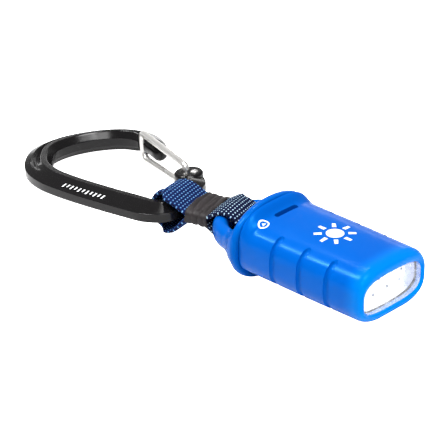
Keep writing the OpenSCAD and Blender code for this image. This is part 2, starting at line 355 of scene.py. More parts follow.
def moulded(name, colour, dark, rough=0.34, grain=3500, depth=1.2e-6, specular=0.5):
    """Moulded plastic: faint colour drift, fine spark-eroded grain, uneven gloss."""
    n = Nodes(name)
    drift = n.noise(90, 2)
    n.set(Base_Color=n.mix(n.ramp(drift, 0.3, 0.7), dark, colour),
          Roughness=n.ramp(n.noise(260, 4), 0.3, 0.7, rough - 0.03, rough + 0.04))
    n.shader.inputs["Specular IOR Level"].default_value = specular
    n.bump(n.noise(grain, 2), depth)
    return n


def metal(name, colour, rough, grain_scale=(900, 900, 900), depth=4e-6):
    n = Nodes(name)
    stretch = n.new("ShaderNodeMapping")
    n.link(n.place(), stretch.inputs[0])
    stretch.inputs["Scale"].default_value = grain_scale
    grain = n.noise(1.0, 3, where=stretch.outputs[0])
    blotch = n.noise(220, 3)
    n.set(Base_Color=n.mix(blotch, tuple(0.82 * c for c in colour[:3]) + (1,), colour), Metallic=1.0,
          Roughness=n.ramp(grain, 0.3, 0.7, rough - 0.03, rough + 0.03))
    n.bump(grain, depth)
    return n


# -------------------- materials
BLUE_GLOSS = (0.02, 0.5, 1.0, 1)


def shell_material(name):
    """Blue plastic that glows cyan where the lamp's light comes through its front lip."""
    n = moulded(name, (0.0, 0.102, 0.500, 1), (0.0, 0.097, 0.485, 1), 0.22, specular=0.20)
    n.shader.inputs["Specular Tint"].default_value = BLUE_GLOSS
    xyz = n.new("ShaderNodeSeparateXYZ")
    n.link(n.place(), xyz.inputs[0])
    x = xyz.outputs[0]
    lamp_x = LAMP[0] * MM
    glow = n.ramp(x, lamp_x + 0.0335, lamp_x + 0.0402)
    lip = n.ramp(x, lamp_x + 0.0385, lamp_x + 0.0400)
    base = n.shader.inputs["Base Color"].links[0].from_socket
    n.set(Base_Color=n.mix(n.math("MULTIPLY", glow, 0.8), base, (0.0, 0.21, 0.74, 1)),
          Emission_Color=(0.0, 0.30, 1.0, 1),
          Emission_Strength=n.math("MULTIPLY_ADD", lip, 0.16, n.math("MULTIPLY", glow, 0.05)))
    return n.material


def cap_material():
    n = moulded("cap_blue", (0.0, 0.104, 0.485, 1), (0.0, 0.099, 0.470, 1), 0.22, specular=0.20)
    n.shader.inputs["Specular Tint"].default_value = BLUE_GLOSS
    return n.material


def webbing_material():
    """Navy tape with raised yarns, lighter blue than the navy between them, in staggered rows; each yarn
    has a painted highlight glint, and the loop round the carabiner is painted a brighter blue, with
    dimmer glints, than the loop round the bail.
    """
    n = Nodes("webbing")
    xy = n.new("ShaderNodeSeparateXYZ")
    n.link(n.new("ShaderNodeTexCoord").outputs["UV"], xy.inputs[0])
    across, along = xy.outputs[0], xy.outputs[1]
    row = n.math("FLOOR", along)
    shift = n.math("MULTIPLY", n.math("MODULO", row, 2.0), 0.5)
    fx = n.math("SUBTRACT", n.math("FRACT", n.math("ADD", across, shift)), 0.5)
    fy = n.math("SUBTRACT", n.math("FRACT", along), 0.5)
    ax, ay = n.math("ABSOLUTE", fx), n.math("ABSOLUTE", fy)
    body = n.math("MULTIPLY", n.ramp(ax, 0.46, 0.34), n.ramp(ay, 0.47, 0.33))
    # Painted highlight: a pale, glossier glint near each yarn's crown.
    dx = n.math("DIVIDE", n.math("SUBTRACT", fx, 0.02), 0.20)
    dy = n.math("DIVIDE", fy, 0.17)
    far = n.math("SQRT", n.math("ADD", n.math("MULTIPLY", dx, dx), n.math("MULTIPLY", dy, dy)))
    yarn_glint = n.ramp(far, 1.15, 0.7)
    uneven = n.noise(500, 3)
    yarn_glint = n.math("MULTIPLY", yarn_glint, n.ramp(uneven, 0.25, 0.55, 0.55, 1.0))
    navy = n.mix(uneven, (0.0006, 0.0012, 0.007, 1), (0.0012, 0.003, 0.018, 1))
    place = n.new("ShaderNodeSeparateXYZ")
    n.link(n.place(), place.inputs[0])
    # Painted light: the loop round the carabiner is painted a brighter blue, with dimmer glints, than
    # the loop round the bail.
    middle_x = (STRAP_AT + STRAP_AXES @ [9.0, 0, 0])[0] * MM
    clip_end = n.ramp(place.outputs[0], middle_x + 0.002, middle_x - 0.002)
    loop_lit_blue = n.mix(clip_end, (0.001, 0.008, 0.055, 1), (0.001, 0.022, 0.150, 1))
    yarn = n.mix(n.math("MULTIPLY", body, 0.9), navy, loop_lit_blue)
    glint_colour = n.mix(clip_end, (0.58, 0.84, 0.95, 1), (0.20, 0.46, 0.72, 1))
    n.set(Base_Color=n.mix(yarn_glint, yarn, glint_colour),
          Roughness=n.math("MULTIPLY_ADD", yarn_glint, -0.2, 0.78))
    n.shader.inputs["Specular IOR Level"].default_value = 0.15
    strands = n.new("ShaderNodeTexWave", wave_type="BANDS", bands_direction="X")
    strands.inputs["Scale"].default_value = 1.6
    strands.inputs["Distortion"].default_value = 1.5
    n.link(n.new("ShaderNodeTexCoord").outputs["UV"], strands.inputs["Vector"])
    n.bump(strands.outputs["Fac"], 2e-5)
    return n.material


def sleeve_material():
    n = Nodes("sleeve_rubber")
    blotch = n.noise(420, 4, 0.65)
    dark, light = (0.0155, 0.0125, 0.0130, 1), (0.028, 0.0225, 0.0240, 1)
    n.set(Base_Color=n.mix(n.ramp(blotch, 0.3, 0.75), dark, light),
          Roughness=n.ramp(n.noise(300, 3), 0.3, 0.7, 0.42, 0.58))
    n.shader.inputs["Specular IOR Level"].default_value = 0.3
    n.bump(n.noise(2200, 3), 1e-5)
    return n.material


def anodised_material():
    n = Nodes("anodised_black")
    blotch = n.noise(120, 3)
    n.set(Base_Color=n.mix(blotch, (0.0050, 0.0046, 0.0050, 1), (0.0075, 0.0070, 0.0075, 1)),
          Metallic=0.0, Roughness=n.ramp(n.noise(500, 4), 0.3, 0.7, 0.13, 0.18))
    n.shader.inputs["Specular IOR Level"].default_value = 0.30
    n.bump(n.noise(5200, 2), 6e-7)
    return n.material


def wire_material():
    """Drawn stainless wire with a soft satin shine."""
    n = Nodes("gate_steel")
    n.set(Base_Color=n.mix(n.noise(60, 2), (0.80, 0.785, 0.76, 1), (0.86, 0.845, 0.82, 1)),
          Metallic=0.75, Roughness=n.ramp(n.noise(90, 2), 0.3, 0.7, 0.26, 0.34))
    return n.material


def print_material():
    n = Nodes("white_print")
    n.set(Base_Color=n.mix(n.noise(900, 2), (0.86, 0.88, 0.90, 1), (0.95, 0.96, 0.97, 1)), Roughness=0.5)
    n.bump(n.noise(4000, 2), 3e-6)
    return n.material


def lens_material():
    """Clear lens lit from behind: mostly white light, with the reflector showing faintly."""
    n = Nodes("lit_lens")
    cloud = n.noise(420, 2)
    n.set(Base_Color=(0.88, 0.92, 0.98, 1), Roughness=0.16,
          Alpha=n.ramp(cloud, 0.35, 0.65, 0.22, 0.32),
          Emission_Color=(0.95, 0.98, 1.0, 1), Emission_Strength=0.16)
    n.bump(n.noise(900, 2), 1e-5)
    return n.material


def glow_material(name, colour, strength, rough=0.35):
    """Near-white plastic that gives off a slightly uneven light of that colour."""
    n = Nodes(name)
    cloud = n.noise(700, 3)
    n.set(Base_Color=(0.9, 0.918, 0.954, 1), Roughness=rough,
          Emission_Color=n.mix(cloud, tuple(0.8 * c for c in colour) + (1,), colour + (1,)),
          Emission_Strength=strength)
    n.bump(n.noise(1800, 2), 1e-5)
    return n.material


SHELL_BLUE = shell_material("shell_blue")
CAP_BLUE = cap_material()
WEBBING = webbing_material()
SLEEVE = sleeve_material()
BLACK = anodised_material()
PRINT = print_material()
STEEL = wire_material()
LENS = lens_material()


# -------------------- lamp shell
SHELL_RING = superellipse(SHELL_POWER, SHELL_HALF, 208)
GROOVE_COUNT = 3
GROOVE_FIRST = 11.4
GROOVE_PITCH = 8.8
GROOVE_DEPTH = 0.75
GROOVE_HALF = 0.85
GROOVE_TOP_Y = 10.3
GROOVE_END_SQUEEZE = 0.6
TAPER = 0.35
TAPER_FROM = 20
TAPER_RUN = 20
FLARE = 2.2
FLARE_RUN = 4.2
FRONT_ROUND = 2.7
FRONT_ROUND_SHARE = 0.66
FRONT_EDGE = 0.55


def side_normals(ring):
    d = np.roll(ring, -1, 0) - np.roll(ring, 1, 0)
    n = np.stack([d[:, 1], -d[:, 0]], 1)
    return n / np.linalg.norm(n, axis=1)[:, None]


def groove_depth(x, y):
    """Round-bottomed grip grooves on both sides, running out where the shoulder turns inwards."""
    past_end = np.maximum(0, GROOVE_TOP_Y - np.abs(y))
    depth = np.zeros(len(y))
    for i in range(GROOVE_COUNT):
        off = x - (GROOVE_FIRST + GROOVE_PITCH * i)
        q = (off * off + (GROOVE_END_SQUEEZE * past_end) ** 2) / GROOVE_HALF ** 2
        depth = np.maximum(depth, GROOVE_DEPTH * np.sqrt(np.clip(1 - q, 0, 1)))
    return depth


def skin_ring(x):
    """Outer section of the shell at x, without the front rounding."""
    narrow = 1 - TAPER * smooth((x - TAPER_FROM) / TAPER_RUN) / SHELL_HALF[0]
    flare = FLARE * (1 - smooth((x - SHELL_REAR) / FLARE_RUN)) ** 1.4
    ring = SHELL_RING * [SHELL_HALF[0] * narrow, SHELL_HALF[1]]
    ring[:, 1] += np.where(SHELL_RING[:, 1] > 0, SHELL_RING[:, 1] * flare, 0)
    ring = ring - side_normals(ring) * groove_depth(x, ring[:, 0])[:, None]
    ring[:, 1] = np.maximum(ring[:, 1], UNDERSIDE)
    return ring


def at_x(x, ring):
    return in_lamp(np.column_stack([np.full(len(ring), x), ring]))


def groove_stations():
    """Places along the shell for its sections, closer together in the flare and in each groove."""
    flare_end, front = 5, SHELL_LEN - 3
    groove_reach, groove_gap = 1.1, 1.2
    xs = list(np.arange(0.6, flare_end, 0.3)) + list(np.arange(flare_end, front, 0.8))
    for i in range(GROOVE_COUNT):
        mid = GROOVE_FIRST + GROOVE_PITCH * i
        xs = [x for x in xs if abs(x - mid) > groove_gap]
        xs += list(mid + np.linspace(-groove_reach, groove_reach, 23))
    return sorted(xs)


WINDOW_RING = superellipse(3.3, WINDOW_HALF, len(SHELL_RING))


def window_ring(grow=0.0):
    return WINDOW_RING * (WINDOW_HALF + grow) + [0, WINDOW_Z]


def make_shell():
    """The blue sleeve: out along its skin, over the lip into the window, back along its bore."""
    rear_edge = 0.18
    rings = [at_x(SHELL_REAR, skin_ring(SHELL_REAR) * 0.985),
             at_x(SHELL_REAR + rear_edge, skin_ring(SHELL_REAR + rear_edge))]
    rings += [at_x(x, skin_ring(x)) for x in groove_stations()]
    full = skin_ring(SHELL_LEN)
    window = window_ring()
    for a in np.radians(np.linspace(0, 90, 11)):
        w = FRONT_ROUND_SHARE * (1 - np.cos(a))
        x = SHELL_LEN - FRONT_ROUND + FRONT_ROUND * np.sin(a)
        rings.append(at_x(x, full * (1 - w) + window * w))
    for a in np.radians([18, 36, 54, 72, 90]):
        w = FRONT_ROUND_SHARE + (1 - FRONT_ROUND_SHARE) * np.sin(a)
        x = SHELL_LEN - FRONT_EDGE * (1 - np.cos(a))
        rings.append(at_x(x, full * (1 - w) + window * w))
    rings.append(at_x(LIP_X, window))
    rings.append(at_x(LIP_X, SHELL_RING * CAVITY_HALF))
    rings.append(at_x(SHELL_REAR, SHELL_RING * CAVITY_HALF))
    shell = make("lamp_shell", *loft(rings, wrap=True))
    combine(shell, slot_cutter(), "DIFFERENCE")
    finish_piece(shell, "lamp", SHELL_BLUE, 38, ["shell"])


def slot_cutter():
    """Rounded slot, widening a little at its mouth."""
    slot_x, mid_y = 3.85, 0.6
    half_w, half_len = 0.68, 4.1
    rings = []
    for z, grow in ((5.5, 0), (8.1, 0), (8.7, 0.06), (11.5, 0.5)):
        outline = []
        for a in np.radians(np.arange(0, 360, 12)):
            side = 1 if a < math.pi else -1
            outline.append([slot_x + (half_w + grow) * np.cos(a),
                            mid_y + side * (half_len - half_w) + (half_w + grow) * np.sin(a), z])
        rings.append(in_lamp(outline))
    return make("cutter", *loft(rings))


# -------------------- tail cap
BAIL_X = -4.5
BAIL_R = 10.05
BAIL_HALF = np.array([2.1, 2.85])
FLANGE_HALF = np.array([14.5, 10.9])
FLANGE_RING = superellipse(2.2, FLANGE_HALF, 160)
FLANGE_TOP_SHARE = 0.95
FLANGE_REAR = -2.4
REAR_EDGE = 1.05
FLANGE_EDGE = 0.84
VOXEL = 0.22
PLUG_GAP = 0.15
SEAL_CHANNEL = 0.85


def make_flange():
    """An oval plate with rounded edges, a little lower above its middle than below it."""
    rings = []
    for a in np.radians(np.linspace(0, 90, 7)):
        x = FLANGE_REAR + REAR_EDGE * (1 - np.cos(a))
        rings.append(at_x(x, FLANGE_RING * (FLANGE_HALF - REAR_EDGE * (1 - np.sin(a)))))
    for a in np.radians(np.linspace(90, 0, 7)):
        x = -FLANGE_EDGE * (1 - np.cos(a))
        rings.append(at_x(x, FLANGE_RING * (FLANGE_HALF - FLANGE_EDGE * (1 - np.sin(a)))))
    for ring in rings:
        above = ring[:, 2] - LAMP[2]
        ring[:, 2] = LAMP[2] + np.where(above > 0, above * FLANGE_TOP_SHARE, above)
    return make("flange", *loft(rings))


def make_bail():
    """A bar bent into half a ring, flaring out where its arms run into the flange."""
    section = superellipse(2.3, BAIL_HALF, 48)
    rings = []
    arm = [-0.6, -1.4, -2.2, -2.8, -3.4, -4.0]
    places = [(x, BAIL_R, 0.0) for x in arm]
    for a in np.radians(np.arange(0, 181, 5)):
        places.append((BAIL_X - BAIL_R * np.sin(a), BAIL_R * np.cos(a), a))
    places += [(x, -BAIL_R, math.pi) for x in reversed(arm)]
    flare_from, flare_run = 2.0, 4.6
    flare_half = np.array([1.35, 2.3])
    flare_shift = 0.75
    for x, y, a in places:
        grow = (1 - smooth((-x - flare_from) / flare_run)) ** 1.3
        radial = np.array([-np.sin(a), np.cos(a), 0])
        half = BAIL_HALF + flare_half * grow
        ring = [np.array([x, y, 0]) + radial * (flare_shift * grow + p[0] * half[0])
                + [0, 0, p[1] * half[1]] for p in section]
        rings.append(in_lamp(ring))
    return make("bail", *loft(rings))


def make_cap():
    """Flange and bail run together into one skin, and the plug with a recess under the slot."""
    cap = make_flange()
    combine(cap, make_bail(), "UNION")
    remesh = cap.modifiers.new("remesh", "REMESH")
    remesh.mode = "VOXEL"
    remesh.voxel_size = VOXEL
    relax = cap.modifiers.new("relax", "SMOOTH")
    relax.factor = 0.5
    relax.iterations = 7
    apply_modifiers(cap)
    cap.name = "tail_cap_flange"
    finish_piece(cap, "battery_core", CAP_BLUE, 60, ["tail_cap"])
    plug = make("tail_cap_plug", *loft(plug_rings()))
    recess_half, recess_x = np.array([1.1, 4.1]), 3.8
    recess_bottom, above_plug = 4.45, 8
    recess = superellipse(4, recess_half, 40) * recess_half + [recess_x, 0]
    cutter = [in_lamp(np.column_stack([recess, np.full(len(recess), z)]))
              for z in (recess_bottom, above_plug)]
    combine(plug, make("cutter", *loft(cutter)), "DIFFERENCE")
    finish_piece(plug, "battery_core", CAP_BLUE, 35)


def plug_rings():
    """The plug that fits the shell, with the channel for its seal."""
    half = CAVITY_HALF - PLUG_GAP
    steps = [(-0.6, 0.0), (5.45, 0.0), (5.6, 0.12), (5.6, SEAL_CHANNEL), (7.0, SEAL_CHANNEL),
             (7.0, 0.12), (7.15, 0.0), (7.4, 0.0), (7.55, 0.08), (7.6, 0.25)]
    return [at_x(x, SHELL_RING * (half - inset)) for x, inset in steps]


# -------------------- webbing
WEB_PITCH_ACROSS = 1.05
WEB_PITCH_ALONG = 0.95
YARN_REACH = 0.47
YARN_RISE = 0.13
TAPE_EDGE = 0.07
TAPE_STATIONS = 470
TAPE_COLUMNS = 84
THROAT_A = 6.2
THROAT_B = 11.2
THROAT_Z = 0.8
LOOP_A = {"mid": np.array([0.0, 0.0]), "half": np.array([4.45, 3.95])}
LOOP_B = {"mid": np.array([18.1, -1.4]), "half": np.array([4.9, 4.85])}


def loop_path(loop, throat_s):
    """The tape's centreline round one bar, from the upper throat to the lower one."""
    squash = np.array([1, loop["half"][0] / loop["half"][1]])
    r = loop["half"][0]
    ends = []
    for z in (THROAT_Z, -THROAT_Z):
        d = (np.array([throat_s, z]) - loop["mid"]) * squash
        half = math.acos(r / np.linalg.norm(d))
        base = math.atan2(d[1], d[0])
        facing = 1 if throat_s > loop["mid"][0] else -1
        ends.append(base + half * (1 if z > 0 else -1) * facing)
    start, stop = ends
    if throat_s > loop["mid"][0]:
        stop += 2 * math.pi * (stop < start)
    else:
        stop -= 2 * math.pi * (stop > start)
    angles = np.linspace(start, stop, 60)
    arc = loop["mid"] + r * np.column_stack([np.cos(angles), np.sin(angles)]) / squash
    return np.vstack([[[throat_s, THROAT_Z]], arc, [[throat_s, -THROAT_Z]]])


def tape_path():
    """The whole closed centreline, smoothed where the loops meet the throat, and its length."""
    a = loop_path(LOOP_A, THROAT_A)
    b = loop_path(LOOP_B, THROAT_B)[::-1]
    whole = np.vstack([a, b, a[:1]])
    along = np.concatenate([[0], np.cumsum(np.linalg.norm(np.diff(whole, axis=0), axis=1))])
    even = np.arange(TAPE_STATIONS) * along[-1] / TAPE_STATIONS
    path = np.stack([np.interp(even, along, whole[:, i]) for i in (0, 1)], 1)
    for _ in range(10):
        path = 0.5 * path + 0.25 * (np.roll(path, 1, 0) + np.roll(path, -1, 0))
    return path, along[-1]


def weave_height(across, along):
    """Raised yarn at each crossing, in rows that are staggered by half a yarn."""
    row = np.floor(along)
    fx = np.mod(across + 0.5 * np.mod(row, 2), 1) - 0.5
    fy = np.mod(along, 1) - 0.5
    q = (fx / YARN_REACH) ** 2 + (fy / YARN_REACH) ** 2
    return YARN_RISE * np.sqrt(np.clip(1 - q, 0, 1))


def make_webbing():
    """Woven tape folded into two loops, narrower where it passes round each bar."""
    path, length = tape_path()
    n = len(path)
    d = np.roll(path, -1, 0) - np.roll(path, 1, 0)
    d /= np.linalg.norm(d, axis=1)[:, None]
    normal = np.column_stack([-d[:, 1], d[:, 0]])
    strap_middle = [9, -0.7]
    normal *= np.sign(((path - strap_middle) * normal).sum(1).sum())
    rows = 2 * round(length / WEB_PITCH_ALONG / 2)
    columns = TAPE_COLUMNS
    t = np.linspace(-1, 1, columns + 1)
    t = np.sign(t) * np.abs(t) ** 0.95
    side = list(range(columns + 1)) + list(range(columns - 1, 0, -1))
    top = np.array([1] * (columns + 1) + [-1] * (columns - 1))
    t = t[side]
    into_edge = np.clip(np.abs(t) - 0.93, 0, 1) / TAPE_EDGE
    edge = np.sqrt(np.clip(1 - into_edge ** 2, 0, 1))
    bar_pinch, bail_pinch, cup_depth, bar_lift = 2.95, 1.45, 0.25, 0.7
    rings, uvs = [], []
    for i in range(n):
        s, z = path[i]
        near = WEB_W / 2 - bar_pinch * smooth((s - 17.8) / 2.6)
        far = WEB_W / 2 - bail_pinch * smooth((1.6 - s) / 1.8)
        t_mm = np.where(t > 0, t * near, t * far)
        across = t * WEB_W / 2 / WEB_PITCH_ACROSS
        along = np.full(len(t), i / n * rows)
        height = edge * (WEB_T / 2 - 0.08) + edge * weave_height(across + 0.5 * (top < 0), along)
        cup = cup_depth * t ** 2
        lift = bar_lift * smooth((t_mm - 0.8) / 1.6) * smooth((s - 17.6) / 2.4)
        h = top * height - cup + lift
        points = np.column_stack([s + normal[i, 0] * h, t_mm, z + normal[i, 1] * h])
        rings.append(in_strap(points))
        uvs.append(np.column_stack([across + 0.5 * (top < 0), along]))
    verts, faces = loft(rings, wrap=True)
    tape = make("strap_webbing", verts, faces)
    uv = tape.data.uv_layers.new(name="UVMap")
    uvs = np.concatenate(uvs)
    m = len(t)
    flat = []
    for face in tape.data.polygons:
        ids = [tape.data.loops[k].vertex_index for k in face.loop_indices]
        ring_ids = [k // m for k in ids]
        wraps = max(ring_ids) - min(ring_ids) > 1
        for k, r in zip(ids, ring_ids):
            u, v = uvs[k]
            flat += [u, v + rows if wraps and r == 0 else v]
    uv.data.foreach_set("uv", flat)
    finish_piece(tape, "strap", WEBBING, 80, ["webbing", "webbing_stitching"])


def make_sleeve():
    """Heat-shrunk tube with soft diagonal creases and slightly wavy ends."""
    wall, half_height = 0.42, 2.62
    half = np.array([WEB_W / 2 + wall, half_height])
    creases = ((0.75, 0.22, 0.24), (0.55, 0.50, 0.20), (0.9, 0.80, 0.22), (-0.5, 0.38, 0.12))
    crease_width, waist_depth, rim_depth, bore_inset = 0.06, 0.12, 0.18, 0.62
    ring = superellipse(3.2, half, 150)
    outward = side_normals(ring * half)
    turn = np.arctan2(ring[:, 1], ring[:, 0])
    y = ring[:, 0]
    rings = []

    def section(k, inset):
        wave = 0.16 * np.sin(3 * turn + 0.6) + 0.08 * np.sin(7 * turn)
        s = SLEEVE_S + SLEEVE_LEN * k + wave * (1 - 2 * k)
        crease = np.zeros(len(ring))
        for lean, place, depth in creases:
            crease += depth * np.exp(-((k + lean * 0.08 * y - place) / crease_width) ** 2)
        waist = waist_depth * np.sin(np.pi * k)
        body = ring * (half - inset) - outward * (crease + waist)[:, None]
        return in_strap(np.column_stack([s, body]))

    for k in np.linspace(0, 1, 46):
        rim = rim_depth * (1 - smooth(min(k, 1 - k) / 0.05))
        rings.append(section(k, rim))
    for k in (1, 0.94, 0.5, 0.06, 0):
        rings.append(section(k, bore_inset))
    sleeve = make("strap_sleeve", *loft(rings, wrap=True))
    finish_piece(sleeve, "strap", SLEEVE, 60, ["webbing_sleeve"])


# -------------------- carabiner
BAR = 3.8
BAR_LINE = np.array([
    [-7.4, 12.6, 3.0], [-3.9, 9.9, 3.0], [-1.6, 4.6, 3.0], [0.4, -1.2, 3.0],
    [1.6, -4.6, BAR - 0.6], [0.8, -7.4, BAR - 0.4], [-2.6, -8.9, BAR - 0.1],
    [-8.4, -9.1, BAR], [-16, -9.2, BAR], [-25, -9.1, BAR],
    [-33.8, -8.6, BAR], [-40.5, -7.6, BAR], [-47.0, -5.0, BAR],
    [-52.2, -0.3, BAR], [-55.6, 5.8, BAR - 0.1], [-55.0, 13.2, BAR - 0.2],
    [-51.0, 20.2, BAR - 0.4], [-45.2, 25.2, BAR - 0.6], [-39.2, 26.8, BAR - 0.7],
    [-34.6, 25.9, BAR - 0.9], [-31.2, 24.4, BAR - 1.1], [-28.9, 23.0, BAR - 1.5]])
BAR_HALF_T = 2.9
BAR_STEPS = 12
KNOB_AT = np.array([-8.4, 12.7])
KNOB_R = 3.9
KNOB_HALF_T = 2.4
GATE_AXIS = np.array([-8.4, 13.3])
GATE_TIP = np.array([-36.0, 24.0])
PIN_OFFSET = 1.5
WIRE_R = 0.95
LEG_Z_TIP = 3.85
LEG_Z_HINGE = 3.5


def catmull(points, steps):
    """A smooth curve through the points, with that many steps between neighbours."""
    out = []
    n = len(points)
    for i in range(n - 1):
        a, b, c, d = points[max(0, i - 1)], points[i], points[i + 1], points[min(n - 1, i + 2)]
        for t in np.arange(steps) / steps:
            out.append(0.5 * (2 * b + (c - a) * t + (2 * a - 5 * b + 4 * c - d) * t ** 2
                              + (3 * b - a - 3 * c + d) * t ** 3))
    out.append(points[-1])
    return np.array(out)


def bar_section(w):
    """Outline of a bar of half-width w: chamfered on both sides, the longer chamfer outside."""
    h = BAR_HALF_T
    up = [(-w, 1.1, 0.35), (1.4 - w, h, 0.5), (0.82 * w - w, h, 1.0), (w, 1.15, 0.22)]
    corners = [(-w, 0.0, 0.2)] + up + [(w, 0.0, 0.2)] + [(n, -z, r) for n, z, r in reversed(up)]
    return evenly(fillet(corners))


def rounder(section, w, share):
    """Blends a section towards an oval of the same width and height."""
    turn = np.arctan2(section[:, 1] / BAR_HALF_T, section[:, 0] / w)
    oval = np.column_stack([w * np.cos(turn), BAR_HALF_T * np.sin(turn)])
    return section + (oval - section) * share


def bar_lines():
    """The bar's curve as (x, y, half-width) rows, its direction, and its outward side."""
    line = catmull(BAR_LINE, BAR_STEPS)
    d = np.gradient(line[:, :2], axis=0)
    d /= np.linalg.norm(d, axis=1)[:, None]
    return line, d, np.column_stack([-d[:, 1], d[:, 0]])


def bar_rings():
    """Sections along the bar, flatter at the head and foot, with a channel round the far bend."""
    channel_depth = 1.25
    line, d, outward = bar_lines()
    rings = []
    for i in range(len(line)):
        u, v, w = line[i]
        station = i / BAR_STEPS
        section = bar_section(w)
        head = smooth((u + 40.5) / 3) * (v > 14)
        section = rounder(section, w, 0.85 * smooth((station - 18.6) / 1.8))
        foot = 1 - smooth((station - 0.6) / 1.6)
        section = section * [1, 1 - 0.12 * head - 0.20 * foot]
        run = smooth((station - 11.2) / 1.8) * (1 - smooth((station - 17.0) / 1.4))
        channel = 1 - smooth((np.abs(section[:, 0] - 0.35) - 0.55) / 0.65)
        face = smooth((np.abs(section[:, 1]) - 1.2) / 0.6)
        section[:, 1] -= np.sign(section[:, 1]) * channel_depth * run * channel * face
        rings.append(section_at([u, v], outward[i], section))
    tip, along, side = line[-1], d[-1], outward[-1]
    last = rounder(bar_section(tip[2]), tip[2], 1.0) * [1, 0.88]
    nose_reach = 1.15 * tip[2]
    for a in np.radians([15, 30, 45, 60, 72, 82, 88]):
        shrunk = last * [np.cos(a) ** 0.8, 0.2 + 0.8 * np.cos(a)]
        rings.append(section_at(tip[:2] + along * nose_reach * np.sin(a), side, shrunk))
    return rings


def section_at(middle, outward, section):
    middle = np.asarray(middle)
    flat = middle + section[:, :1] * outward
    return in_biner(np.column_stack([flat, section[:, 1]]))


KNOB_SIDES = 72


def disc(middle, profile):
    """Rings of a shape turned about a vertical line, from (radius, height) pairs."""
    turn = np.linspace(0, 2 * np.pi, KNOB_SIDES, endpoint=False)
    rings = []
    for r, z in profile:
        rings.append(in_biner(np.column_stack([
            middle[0] + r * np.cos(turn), middle[1] + r * np.sin(turn), np.full(KNOB_SIDES, z)])))
    return rings


def knob_profile():
    """(radius, height) pairs of the flat round knob, with rounded edges."""
    edge = 0.7
    out = []
    for a in np.radians(np.linspace(0, 90, 8)):
        out.append((KNOB_R - edge * (1 - np.sin(a)), -KNOB_HALF_T + edge * (1 - np.cos(a))))
    for r, z in reversed(out[:]):
        out.append((r, -z))
    return out


def notch_cutter():
    """A round-bottomed slot in the nose, in which the closed gate's end sits."""
    swing = math.atan2(*(GATE_TIP - GATE_AXIS)[::-1]) + math.radians(98)
    room, reach, high = 0.35, 8.0, 5.0
    r = WIRE_R + room
    outline = [(reach, -r), (reach, r)]
    outline += [(r * np.cos(a), r * np.sin(a)) for a in np.radians(np.arange(90, 271, 15))]
    c, s = math.cos(swing), math.sin(swing)
    flat = np.array([(GATE_TIP[0] + c * x - s * y, GATE_TIP[1] + s * x + c * y) for x, y in outline])
    rings = [in_biner(np.column_stack([flat, np.full(len(flat), z)])) for z in (-high, high)]
    return make("cutter", *loft(rings))


def make_carabiner():
    bar = make("carabiner_body", *loft(bar_rings()))
    combine(bar, make("knob", *loft(disc(KNOB_AT, knob_profile()))), "UNION")
    combine(bar, notch_cutter(), "DIFFERENCE")
    finish_piece(bar, "carabiner", BLACK, 28, ["carabiner_frame"])


def make_gate():
    """One bent wire: both legs, the closed end, and the two ends that turn into the knob."""
    up, down = GATE_AXIS - [PIN_OFFSET, 0], GATE_AXIS + [PIN_OFFSET, 0]
    corners = [
        [*up, 0.6], [*up, LEG_Z_HINGE], [*GATE_TIP, LEG_Z_TIP], [*GATE_TIP, -LEG_Z_TIP],
        [*down, -LEG_Z_HINGE], [*down, KNOB_HALF_T + 0.12]]
    path = rounded_path(corners, [0, 1.5, 2.0, 2.9, 1.5, 0])
    rings = [in_biner(r) for r in round_bar(path, WIRE_R)]
    wire = make("gate_wire", *loft(rings))
    finish_piece(wire, "gate", STEEL, 60, ["wire_gate"])


# -------------------- lens and light
def make_lens():
    """Clear block that fills the window, ribbed on its front at both ends."""
    gap, front_edge, bulge = 0.06, 0.25, 0.1
    ribs_from, rib_pitch, rib_height = 8.2, 0.62, 0.10
    half = WINDOW_HALF - gap
    rings = []
    for x, inset in ((37.4, 0.0), (39.2, 0.0), (39.4, 0.08), (39.5, front_edge)):
        rings.append(at_x(x, WINDOW_RING * (half - inset) + [0, WINDOW_Z]))
    for k in np.linspace(0.97, 0.03, 60):
        flat = WINDOW_RING * (half - front_edge) * k
        end = smooth((np.abs(flat[:, 0]) - ribs_from) / 0.5)
        rib = rib_height * end * np.cos(2 * np.pi * flat[:, 1] / rib_pitch)
        x = LENS_FRONT + bulge * (1 - k ** 2) - bulge + rib
        rings.append(in_lamp(np.column_stack([x, flat[:, 0], flat[:, 1] + WINDOW_Z])))
    lens = make("lens_block", *loft(rings))
    finish_piece(lens, "lamp", LENS, 50, ["lens"])


RING_TAPER = np.array([1.1, 0.3])


def ring_material():
    """Painted glow, white along the window, with painted shade at both ends: greyer-lavender and dimmer.
    """
    n = Nodes("light_ring")
    xyz = n.new("ShaderNodeSeparateXYZ")
    n.link(n.place(), xyz.inputs[0])
    off = n.math("ABSOLUTE", n.math("SUBTRACT", xyz.outputs[1], LAMP[1] * MM))
    # Painted shade: both ends of the ring turn grey-lavender and give off less light.
    ends = n.ramp(off, 0.0068, 0.0090)
    end = n.math("MULTIPLY", ends, n.ramp(n.noise(700, 3), 0.3, 0.7, 0.75, 1.0))
    n.set(Base_Color=n.mix(end, (0.90, 0.92, 0.96, 1), (0.36, 0.40, 0.58, 1)), Roughness=0.35,
          Emission_Color=n.mix(end, (1.0, 1.0, 1.0, 1), (0.45, 0.50, 0.85, 1)),
          Emission_Strength=n.math("MULTIPLY_ADD", end, -0.35, 0.75))
    n.bump(n.noise(1800, 2), 1e-5)
    return n.material


